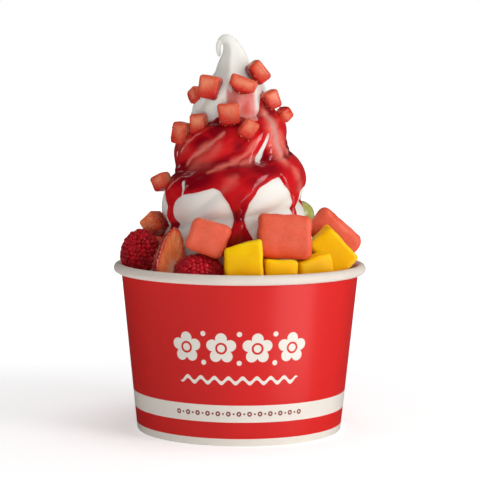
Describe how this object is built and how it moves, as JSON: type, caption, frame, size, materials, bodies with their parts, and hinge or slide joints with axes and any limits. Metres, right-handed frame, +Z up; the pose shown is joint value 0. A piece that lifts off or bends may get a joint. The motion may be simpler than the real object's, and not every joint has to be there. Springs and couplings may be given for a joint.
{
  "type": "frozen yogurt cup",
  "caption": "Paper cup heaped with a soft-serve frozen yogurt swirl ending in a curled peak, red sauce running down it, strawberry dice on it and cut fruit round its foot.",
  "frame": {"origin": "centre of the cup's foot, on the surface that it stands on", "axes": "+Z up along the cup's axis; -Y towards the front, the side seen in the picture; +X to the right as seen from the front"},
  "size_m": [0.112, 0.112, 0.1746],
  "materials": {
    "paper_print": "satin coated paper, red print with off-white bands and an off-white rolled rim",
    "paper_base": "plain off-white paper",
    "yogurt": "soft cream-white frozen yogurt under a glossy red fruit sauce",
    "strawberry": "wet cut strawberry, paler inside than at its skin",
    "raspberry": "dark red, bumpy, soft shine",
    "watermelon": "moist, slightly grainy coral-red flesh",
    "mango": "moist golden-yellow flesh",
    "grape": "pale green skin, soft shine"
  },
  "bodies": {
    "root": {"cup_base": "paper_base", "cup_wall": "paper_print", "frozen_yogurt": "yogurt", "grape_back": "grape", "grape_left_back": "grape", "grape_right": "grape", "mango_back": "mango", "mango_back_low": "mango", "mango_back_upper": "mango", "mango_front": "mango", "mango_front_low": "mango", "mango_left_back": "mango", "mango_right": "mango", "mango_right_low": "mango", "raspberry_back": "raspberry", "raspberry_front": "raspberry", "raspberry_left": "raspberry", "raspberry_right_back": "raspberry", "strawberry_chunk_left": "strawberry", "strawberry_die_01": "strawberry", "strawberry_die_02": "strawberry", "strawberry_die_03": "strawberry", "strawberry_die_04": "strawberry", "strawberry_die_05": "strawberry", "strawberry_die_06": "strawberry", "strawberry_die_07": "strawberry", "strawberry_die_08": "strawberry", "strawberry_die_09": "strawberry", "strawberry_die_10": "strawberry", "strawberry_die_11": "strawberry", "strawberry_die_12": "strawberry", "strawberry_die_13": "strawberry", "strawberry_die_14": "strawberry", "strawberry_die_15": "strawberry", "strawberry_die_16": "strawberry", "strawberry_die_17": "strawberry", "strawberry_half_back": "strawberry", "strawberry_half_left": "strawberry", "strawberry_half_right": "strawberry", "watermelon_back_low": "watermelon", "watermelon_back_upper": "watermelon", "watermelon_front_left": "watermelon", "watermelon_front_right": "watermelon", "watermelon_left_back": "watermelon", "watermelon_right": "watermelon"}
  },
  "joints": []
}
